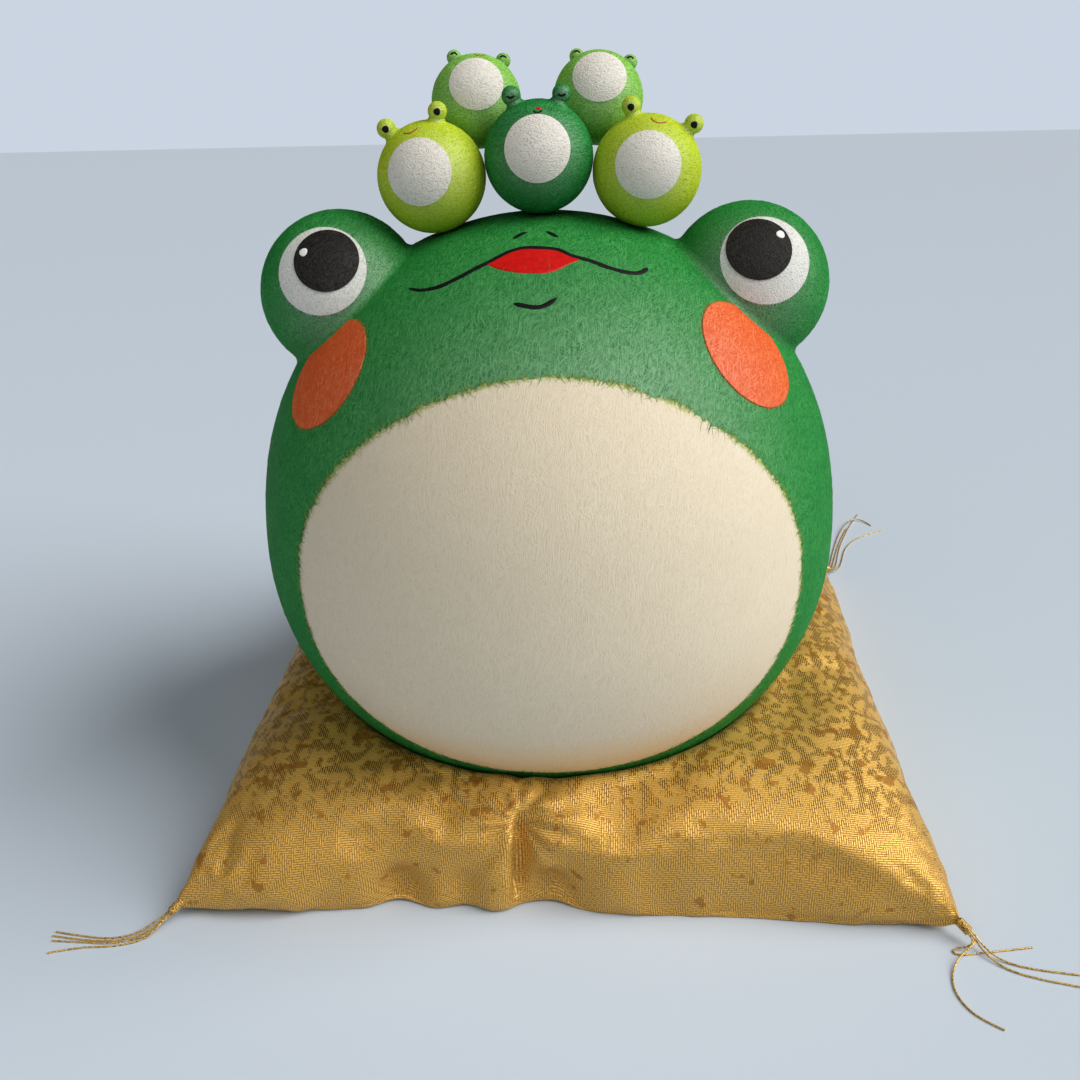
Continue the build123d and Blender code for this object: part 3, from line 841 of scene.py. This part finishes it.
def tear(turn):
    """How far the torn edge lies outside its smooth outline, in millimetres."""
    around = Vector((cos(turn), sin(turn), 0))
    waves = [noise.noise(around * often + shift) * deep for often, shift, deep in tear_waves]
    return tear_depth * sum(waves)


def on_front(x, z, lift):
    """A point above the body's front, x from the frog's middle and z its height."""
    return on_body(degrees(asin(max(-1, min(1, x / body_reach(z))))), z, lift)


def join_skin(mesh):
    """Joins corners that lie together and turns all faces outwards."""
    skin = bmesh.new()
    skin.from_mesh(mesh)
    bmesh.ops.remove_doubles(skin, verts=skin.verts, dist=1e-6)
    bmesh.ops.recalc_face_normals(skin, faces=skin.faces)
    skin.to_mesh(mesh)
    skin.free()


corners, edge_nearness = [], []
for k in range(belly_rings + 1):
    share = 1 - (1 - k / belly_rings) ** ring_crowding
    for i in range(belly_turns):
        turn = 2 * pi * (i + 0.5) / belly_turns
        x, z = belly_edge(turn)
        reach = hypot(x, z)
        out = share * (1 + share**tear_from * tear(turn) / reach)
        inside = (1 - out) * reach
        lift = belly_proud * min(1.0, edge_share + inside / edge_rise)
        if k == belly_rings:
            lift = edge_sunk
        corners.append(on_front(x * out, belly_mid_z + z * out, lift))
        edge_nearness.append(exp(-max(inside, 0) / feather_width))
belly_mesh = new_mesh("belly_paper", corners, grid_faces(belly_rings + 1, belly_turns, closed=True))
noted = belly_mesh.attributes.new("feather", "FLOAT", "POINT")
noted.data.foreach_set("value", edge_nearness)
join_skin(belly_mesh)

cream_paper, tree = new_material("cream_paper")
cream_dyes = ((232, 218, 190), (242, 231, 208), (216, 198, 162))
place, cream, height = lay_paper(tree, cream_dyes, 0.3, (0.4, 0.4))
# painted light reflected up from the gold cushion warms the paper towards its foot
bounce_full_to, bounce_gone_from, bounce_strongest = 0.033, 0.052, 0.8
height_up = linked("SeparateXYZ", {0: place}).outputs[2]
painted_bounce = stretch(height_up, bounce_full_to, bounce_gone_from, bounce_strongest, 0.0)
# the paper is mixed towards warm gold low down as painted reflected light from the cushion
bounce_lit_paper = mix_colours(painted_bounce, cream, shade(238, 198, 126))
near_edge = add_node(tree, "Attribute", attribute_name="feather").outputs["Fac"]
frayed = stretch(noise_at(place, 1500.0), 0.35, 0.6, 0.4, 1.4)
stained = stretch(times(near_edge, frayed), 0.15, 0.7)
cream_finish = {
    "Base Color": mix_colours(times(stained, 0.85), bounce_lit_paper, shade(150, 170, 60)),
    "Normal": relief_of(height, 0.04, 0.7),
    "Roughness": 0.66,
    "Specular IOR Level": 0.3,
    "Sheen Weight": 0.15,
}
finish_material(tree, cream_finish)
add_piece("torn_belly_paper", belly_mesh, cream_paper, "belly_paper", "belly_paper")

green_hair = plain_material("green_hair", (44, 110, 36))
feather_hair = plain_material("feather_hair", (186, 192, 96))
# of the hairs at the torn edge, the green ones lie inwards and the cream ones outwards: their
# longest, where they start outside the edge, their way and how far they stand off the body
edge_kinds = {"green": (2.6, 0.2, -1, 0.34), "feather": (1.6, -0.5, 1, 0.12)}
edge_hairs = {"green": [], "feather": []}
edge_hair_count, edge_hair_steps, edge_hair_widths = 2400, 4, (0.09, 0.16)
edge_shortest, edge_lean, edge_bend = 0.6, 0.55, 0.5
random.seed(5)
for i in range(edge_hair_count):
    turn = random.uniform(0, 2 * pi)
    x, z = belly_edge(turn)
    reach = hypot(x, z)
    kind = "feather" if i % 3 else "green"
    longest, start, way, lift = edge_kinds[kind]
    length = way * random.uniform(edge_shortest, longest)
    lean, bend = random.gauss(0, edge_lean), random.gauss(0, edge_bend)
    line = []
    for k in range(edge_hair_steps + 1):
        s = k / edge_hair_steps
        out = tear(turn) + start + length * s * cos(lean)
        aside = length * s * sin(lean + bend * s)
        px = x * (1 + out / reach) - z / reach * aside
        pz = z * (1 + out / reach) + x / reach * aside
        line.append(on_front(px, belly_mid_z + pz, lift))
    edge_hairs[kind].append((line, random.uniform(*edge_hair_widths)))
green_edge = hair_mesh("green_hairs", edge_hairs["green"])
cream_edge = hair_mesh("cream_hairs", edge_hairs["feather"])
add_piece("belly_edge_green_hairs", green_edge, green_hair, "body_paper")
add_piece("belly_edge_cream_hairs", cream_edge, feather_hair, "belly_paper")


# The eyes
# A white and a charcoal round of fibrous paper pasted one on the other on each bump, with a
# highlight dabbed on in white paint. A few white hairs stray out from under the white rounds.
white_dyes = ((222, 224, 216), (242, 243, 238), (184, 184, 174))
white_paper = paper_finish("white_paper", white_dyes, 0.3, (0.6, 0.7), 0.07, 0.2)
charcoal_dyes = ((28, 27, 25), (62, 58, 54), (14, 13, 12))
charcoal_paper = paper_finish("charcoal_paper", charcoal_dyes, 0.3, (0.5, 0.6), 0.06, 0.1)
eye_r, bump_proud, bump_azimuth, bump_elevation = 23.9, 1.5, 88.0, 48.43
eye_middles = {
    side: head_middle + facing(way * bump_azimuth, bump_elevation) * (crown_r + bump_proud)
    for side, way in (("left", -1), ("right", 1))
}
highlight_aim = {"left": facing(-20.9, 38.7), "right": facing(19.1, 44.6)}
highlight_size, paint_depth, paper_thick = 1.3, 0.07, 0.3
dab_sides, dab_sunk, dab_wobble = 24, -0.04, 0.05
fringe_start, fringe_lift, fringe_drop, fringe_lean = 0.3, 0.31, 0.25, 0.5
fringe_lengths, fringe_widths = (0.4, 1.5), (0.08, 0.14)


def axes_round(aim):
    """Two directions across an aim, the first level and the second upwards."""
    aside = aim.cross(Vector((0, 0, 1))).normalized()
    return aside, aside.cross(aim)


def edge_fringe(name, middle, r, aim, size, count, material, slot, clear_of=()):
    """Fine hairs that stray out all round a paper disc pasted on a ball."""
    aside, up = axes_round(aim)
    strands = []
    for _ in range(count):
        t, lean = random.uniform(0, 2 * pi), random.gauss(0, fringe_lean)
        length = random.uniform(*fringe_lengths)
        line = []
        for s in (0, 0.33, 0.67, 1):
            out = asin(size / r) + (s * length - fringe_start) * cos(lean) / r
            turn = t + s * length * sin(lean) / size
            p = aim * cos(out) + (aside * cos(turn) + up * sin(turn)) * sin(out)
            line.append(middle + p * (r + fringe_lift - fringe_drop * s))
        if all((line[-1] - centre).length > reach for centre, reach in clear_of):
            strands.append((line, random.uniform(*fringe_widths)))
    add_piece(name, hair_mesh(name, strands), material, slot)


def paint_dab(name, middle, r, aim, size, material, slot):
    """A round dab of paint on a ball, thin at its edge."""
    aside, up = axes_round(aim)
    profile = ((0.15, paint_depth), (0.6, paint_depth), (0.9, paint_depth * 0.7), (1.0, dab_sunk))
    rings = []
    for share, lift in profile:
        ring = []
        for i in range(dab_sides):
            t = 2 * pi * i / dab_sides
            wobble = 1 + dab_wobble * sin(3 * t + size) * share
            p = aim + (aside * cos(t) + up * sin(t)) * (share * size / r) * wobble
            ring.append(middle + p.normalized() * (r + lift))
        rings.append(ring)
    add_piece(name, ring_mesh(rings, name), material, slot)


white_paint = plain_material("white_paint", (245, 245, 242), 0.45)
white_hair = plain_material("white_hair", (216, 214, 206))
eye_white_aim = {"left": facing(-6.3, 28.9), "right": facing(4.8, 30.1)}
eye_white_r, eye_fringe = 12.5, 220
for side, middle in eye_middles.items():
    fringe = f"eye_white_{side}_fringe"
    disc = (middle, eye_r, eye_white_aim[side], eye_white_r)
    edge_fringe(fringe, *disc, eye_fringe, white_hair, "white_paper")
    dress(f"eye_white_{side}", white_paper)
    dress(f"pupil_{side}", charcoal_paper)
    dab = (middle, eye_r + 2 * paper_thick, highlight_aim[side], highlight_size)
    paint_dab(f"highlight_{side}", *dab, white_paint, "pupil_paper")


def ball_hairs(middle, r, count, longest, in_place):
    """Fine hairs pasted on a ball, each running a random way, where its start is in place."""
    lift, curl, steps, widths = 0.02, 0.25, 6, (0.07, 0.11)
    strands = []
    while len(strands) < count:
        p = Vector([random.gauss(0, 1) for _ in range(3)]).normalized()
        if not in_place(p):
            continue
        heading = p.orthogonal().normalized()
        heading.rotate(Matrix.Rotation(random.uniform(0, 2 * pi), 3, p))
        length = random.uniform(longest / 3, longest)
        line = []
        for _ in range(steps):
            line.append(middle + p * (r + lift))
            heading.rotate(Matrix.Rotation(random.gauss(0, curl), 3, p))
            p = (p + heading * length / steps / r).normalized()
            heading = (heading - p * heading.dot(p)).normalized()
        strands.append((line, random.uniform(*widths)))
    return strands


random.seed(23)
bump_hairs, longest_hair, crease_clear, disc_clear = 240, 5.0, 2, 0.05
strands = []
for side, middle in eye_middles.items():
    disc, clear = eye_white_aim[side], cos(asin(eye_white_r / eye_r) + disc_clear)

    def on_bump(p):
        """Whether a direction from the bump's middle meets its green paper."""
        from_head = (middle + p * eye_r - head_middle).length
        return p.dot(disc) < clear and from_head > crown_r + crease_clear

    strands += ball_hairs(middle, eye_r, bump_hairs, longest_hair, on_bump)
add_piece("bump_hairs", hair_mesh("bump_hairs", strands), loose_hair, "body_paper")


# The cheeks
# Rounds of orange paper pasted below the bumps. Their dye is uneven and their hairs show pale.
orange_dyes = ((224, 86, 28), (240, 148, 94), (196, 62, 12))
orange_paper = paper_finish("orange_paper", orange_dyes, 0.3, (0.5, 0.55), 0.05)
orange_hair = plain_material("orange_hair", (214, 110, 44))
cheek_aim = {"left": facing(-59.2, 36.9), "right": facing(54.6, 40.3)}
cheek_r, cheek_fringe, bump_clear = 16.5, 420, 0.4
for side, aim in cheek_aim.items():
    dress(f"cheek_{side}", orange_paper)
    fringe = f"cheek_{side}_fringe"
    bump = [(eye_middles[side], eye_r + bump_clear)]
    disc = (head_middle, crown_r, aim, cheek_r)
    edge_fringe(fringe, *disc, cheek_fringe, orange_hair, "cheek_paper", bump)


# The mouth and nostrils
# Brushed on the green paper: a long black line that dips and lifts, red lips under its middle,
# a short line below them and two strokes for nostrils. The paint stands a little proud.
def smooth_path(points, steps):
    """A smooth line through points, each in degrees of azimuth and elevation."""
    ends = [points[0], *points, points[-1]]
    line = []
    for a, b, c, d in zip(ends, ends[1:], ends[2:], ends[3:]):
        for k in range(steps):
            t = k / steps
            near, far = t - 2 * t**2 + t**3, t**2 - t**3
            weights = (-near, 2 - 5 * t**2 + 3 * t**3, t + 4 * t**2 - 3 * t**3, -far)
            line.append([sum(w * p[i] for w, p in zip(weights, (a, b, c, d))) / 2 for i in (0, 1)])
    line.append(list(points[-1]))
    return [facing(*p) for p in line]


stroke_section = ((-1, -0.05), (-0.7, paint_depth), (0.7, paint_depth), (1, -0.05), (0, -0.12))
press_over, stroke_wobble, wobble_often, thinnest_tip = 0.15, 0.10, 40, 0.02


def brush_stroke(name, middle, r, path, width, material, slot, taper=(0.35, 0.35)):
    """A painted line on a ball, which swells from its start and thins out at its end."""
    reach = [0.0]
    for a, b in zip(path, path[1:]):
        reach.append(reach[-1] + (b - a).length * r)
    rings = []
    for k, aim in enumerate(path):
        ahead = (path[min(k + 1, len(path) - 1)] - path[max(k - 1, 0)]).normalized()
        aside = ahead.cross(aim).normalized()
        half = width / 2 * (1 + stroke_wobble * noise.noise(aim * wobble_often)) / r
        for gone, thinnest in zip((reach[k], reach[-1] - reach[k]), taper):
            half *= sqrt(max(1 - (1 - min(1.0, gone / width)) ** 2, thinnest_tip))
            half *= thinnest + (1 - thinnest) * min(1, gone / reach[-1] / press_over)
        section = [(aim + aside * s * half, lift) for s, lift in stroke_section]
        rings.append([middle + out.normalized() * (r + lift) for out, lift in section])
    add_piece(name, ring_mesh(rings, name), material, slot)


def streaked_paint(name, scale, detail, streaks, colours):
    """A brushed paint's material, its node tree, its streaks and their colour."""
    material, tree = new_material(name)
    streak = noise_at(add_node(tree, "TexCoord").outputs["Object"], scale, detail)
    return material, tree, streak, mix_colours(stretch(streak, *streaks), *colours)


inks, reds = (shade(6, 6, 7), shade(20, 20, 21)), (shade(216, 8, 6), shade(188, 4, 4))
black_paint, tree, streak, ink = streaked_paint("black_paint", 1400.0, 2.0, (0.45, 0.75), inks)
finish_material(tree, {"Base Color": ink, "Roughness": 0.6, "Specular IOR Level": 0.2})
red_paint, tree, streak, red = streaked_paint("red_paint", 700.0, 3.0, (0.35, 0.7), reds)
red_finish = {"Base Color": red, "Normal": relief_of(streak, 0.08, 0.6)}
finish_material(tree, {**red_finish, "Roughness": 0.5, "Specular IOR Level": 0.25})

mouth_line = (
    (-50, 57.2), (-43.9, 57.4), (-38.1, 58.8), (-33.2, 61.4), (-28.3, 64.6), (-24.6, 66.5),
    (-18.8, 69.6), (-12, 71.3), (-3.2, 71.5), (6.9, 70.7), (13.2, 68.4), (20.5, 66.4),
    (26.5, 63.9), (32.9, 62), (37.7, 61.6), (42.4, 62.3),
)
lip_line = (
    (-25.5, 66.0), (-20.3, 64.9), (-11.4, 63.8), (-1.7, 63.4), (4.1, 64.2), (10.9, 66),
    (17.5, 67.3),
)
# each stroke's line, its smoothing steps, its width and how thin its ends are
face_strokes = {
    "mouth_line": (mouth_line, 10, 1.9, (0.5, 0.8)),
    "chin_line": (((-9.4, 56.4), (-3.3, 55.6), (0, 56), (4, 57.7)), 12, 1.6, (1.0, 0.3)),
    "nostril_left": (((-20.6, 74.4), (-17.5, 76.6), (-13.6, 77.5)), 12, 1.7, (0.35, 0.35)),
    "nostril_right": (((2.6, 77.9), (6.0, 76.8), (10.0, 75.0)), 12, 1.7, (0.35, 0.35)),
}

upper_lip = smooth_path(mouth_line[5:12], 8)
lower_lip = smooth_path(lip_line, 8)
lip_rows, lip_proud, lip_edge, lip_sunk = 9, 0.045, -0.03, -0.1
lip_corners = []
for lifts in ((lip_proud, lip_edge), (lip_sunk, lip_sunk)):
    for j in range(lip_rows):
        lift = lifts[1] if j in (0, lip_rows - 1) else lifts[0]
        for a, b in zip(upper_lip, lower_lip):
            p = a.lerp(b, j / (lip_rows - 1)).normalized()
            lip_corners.append(head_middle + p * (crown_r + lift))
columns = len(upper_lip)
layer, last_row = columns * lip_rows, columns * (lip_rows - 1)
lip_faces = []
under_faces = grid_faces(lip_rows, columns, layer)
for above, below in zip(grid_faces(lip_rows, columns, flipped=True), under_faces):
    lip_faces += [above, below]
walls = [(a, a + 1) for i in range(columns - 1) for a in (i, last_row + i)]
for j in range(lip_rows - 1):
    walls += [(a, a + columns) for a in (j * columns, (j + 1) * columns - 1)]
lip_faces += [(a, b, layer + b, layer + a) for a, b in walls]
lip_mesh = new_mesh("lips", lip_corners, lip_faces)
join_skin(lip_mesh)
add_piece("red_lips", lip_mesh, red_paint, "body_paper")
for name, (line, steps, width, taper) in face_strokes.items():
    path = smooth_path(line, steps)
    brush_stroke(name, head_middle, crown_r, path, width, black_paint, "body_paper", taper)


# The small frogs
# Five paper balls glued on the head in two rows, two lime, one dark green and two light green,
# each with a white round on its front, two bead eyes on flared necks and a brushed face.
ball_r = {"front": 15.6, "back": 13.2}
knob_r = {"front": 2.7, "back": 2.2}
knob_stand = 1.16
# sideways lean, backward tilt, turn, and how far the knobs stand from the top, as in the solids
small_pose = {
    "left": (-16.8, -1.7, -5.6, 25.5),
    "middle": (-1.2, -1.6, -1.2, 23.1),
    "right": (14.8, -5.1, -7.3, 30.4),
    "back_left": (3.9, 32.8, 1.2, 28.3),
    "back_right": (10.7, 37.4, -6.3, 31.3),
}
small_dyes = {
    "lime": ((182, 206, 22), (214, 230, 96), (116, 138, 2)),
    "dark": ((18, 118, 50), (80, 170, 96), (2, 68, 26)),
    "light": ((120, 188, 62), (184, 230, 140), (60, 118, 8)),
}
small_colour = {"left": "lime", "middle": "dark", "right": "lime"}
small_paper, small_hair = {}, {}
for colour, dyes in small_dyes.items():
    small_paper[colour] = paper_finish(f"{colour}_paper", dyes, 0.28, (0.5, 0.55), 0.06, 0.8)
small_white_dyes = ((233, 228, 216), (248, 244, 236), (192, 183, 168))
small_white = paper_finish("small_white_paper", small_white_dyes, 0.34, (0.6, 0.6), 0.08, 0.2)
brown_paint = plain_material("brown_paint", (176, 84, 26), 0.5)
for colour, (_, pale, _) in small_dyes.items():
    small_hair[colour] = plain_material(f"{colour}_hair", pale)
small_belly_rise, small_belly_clear = {"front": 17.3, "back": -3.5}, 37.0
small_hairs, small_hair_length = 80, 4.0

smiles = {
    "left": ((-20.3, 66.2), (2.0, 62.4), (23.4, 67.3)),
    "middle": ((-6.6, 58.5), (2.2, 55.2), (12.4, 58.5)),
    "right": ((-35.0, 70.7), (-7.5, 65.6), (20.2, 71.3)),
    "back_left": ((-6.8, 45.1), (3.8, 40.3), (16.2, 50.9)),
    "back_right": ((-1.7, 34.6), (6.6, 32.7), (15.1, 37.4)),
}
open_eyes = {"left": facing(8, 2), "right": facing(2, 2)}
drooping_lid, arched_lid = ((-28, 2), (0, -7), (28, 4)), ((-30, -7), (0, 7), (30, -7))
smile_width, nose_size, pupil_size, lid_width = 0.65, 0.75, 1.1, 0.75
for name, (lean, tilt, turn, spread) in small_pose.items():
    row = "back" if name.startswith("back") else "front"
    r, knob, colour = ball_r[row], knob_r[row], small_colour.get(name, "light")
    slot = f"{colour}_paper"
    low, high = (Vector(c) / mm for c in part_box(f"small_{name}_ball"))
    middle = (low + high) / 2
    pose = Matrix.Rotation(radians(lean), 3, "Y") @ Matrix.Rotation(radians(-tilt), 3, "X")
    pose = pose @ Matrix.Rotation(radians(turn), 3, "Z")
    for part in ("ball", "eye_left", "eye_right"):
        dress(f"small_{name}_{part}", small_paper[colour])
    dress(f"small_{name}_belly", small_white)
    patch, clear = pose @ facing(0, small_belly_rise[row]), cos(radians(small_belly_clear))
    strands = ball_hairs(middle, r, small_hairs, small_hair_length, lambda p: p.dot(patch) < clear)
    add_piece(f"small_{name}_hairs", hair_mesh(f"small_{name}", strands), small_hair[colour], slot)
    path = [pose @ p for p in smooth_path(smiles[name], 10)]
    paint = black_paint if name == "middle" else brown_paint
    brush_stroke(f"small_{name}_smile", middle, r, path, smile_width, paint, slot)
    if name == "middle":
        nose = pose @ facing(4.7, 61.7)
        paint_dab("small_middle_nose", middle, r, nose, nose_size, red_paint, slot)
    for side, sign in (("left", -1), ("right", 1)):
        out = Vector((sign * sin(radians(spread)), 0, cos(radians(spread))))
        bead = middle + pose @ out * (knob_stand * r)
        if name in open_eyes:
            eye = (bead, knob, pose @ open_eyes[name], pupil_size)
            paint_dab(f"small_{name}_pupil_{side}", *eye, black_paint, slot)
        else:
            lid = smooth_path(drooping_lid if name == "middle" else arched_lid, 8)
            lid = [pose @ p for p in lid]
            brush_stroke(f"small_{name}_lid_{side}", bead, knob, lid, lid_width, black_paint, slot)
